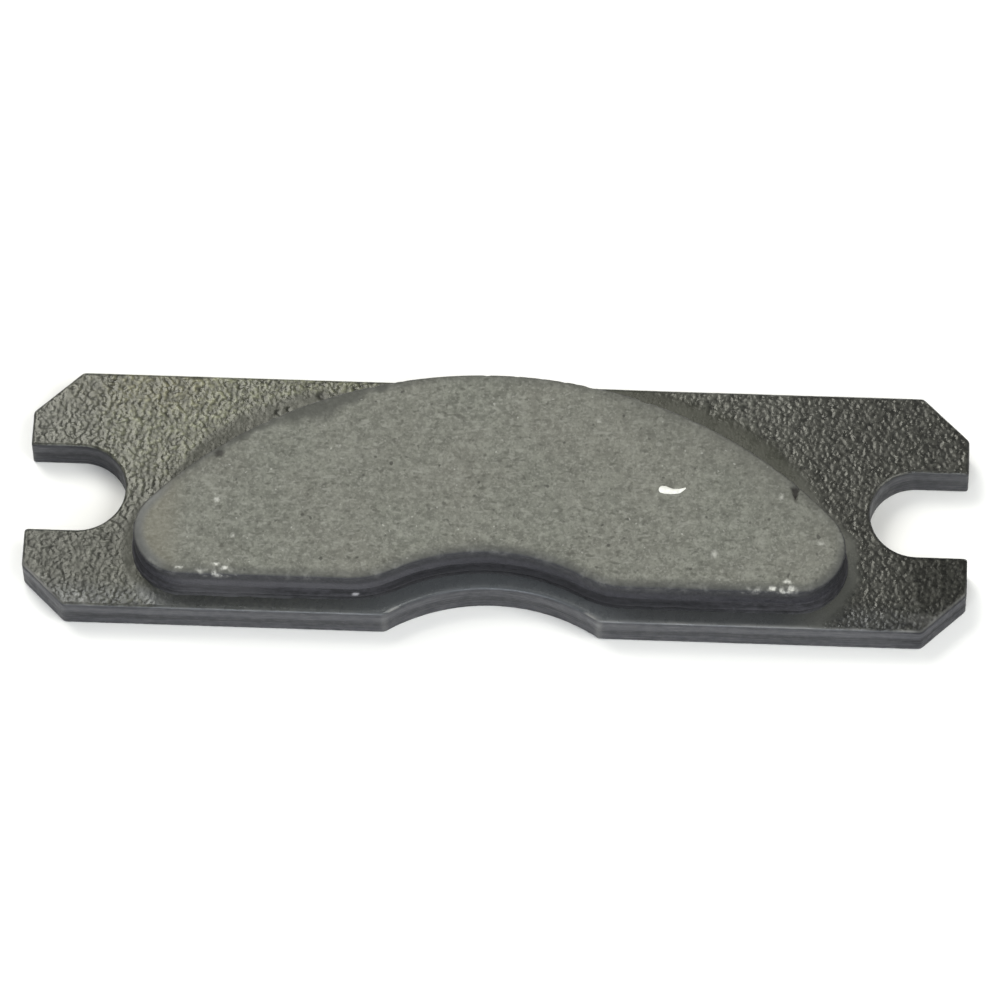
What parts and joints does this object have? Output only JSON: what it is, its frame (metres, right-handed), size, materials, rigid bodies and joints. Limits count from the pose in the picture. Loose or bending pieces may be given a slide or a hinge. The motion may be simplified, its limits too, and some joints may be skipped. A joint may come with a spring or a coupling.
{
  "type": "brake pad",
  "caption": "Disc brake pad: flat steel backing plate with chamfered corners, open guide-pin slots at both ends and a hub arch, carrying a bonded kidney-shaped friction lining.",
  "frame": {"origin": "centre of the backing plate's back face, the face that the caliper piston pushes", "axes": "+X along the plate from one guide-pin slot to the other, +Y towards the long outer curve of the lining, +Z from the plate through the lining towards the brake disc"},
  "size_m": [0.15, 0.0426, 0.0125],
  "materials": {
    "plate_paint": "satin",
    "bond_resin": "matte",
    "underlayer_composite": "matte",
    "friction_composite": "matte"
  },
  "bodies": {
    "root": {"backing_plate": "plate_paint", "bond_layer": "bond_resin", "underlayer": "underlayer_composite", "friction_lining": "friction_composite"}
  },
  "joints": []
}
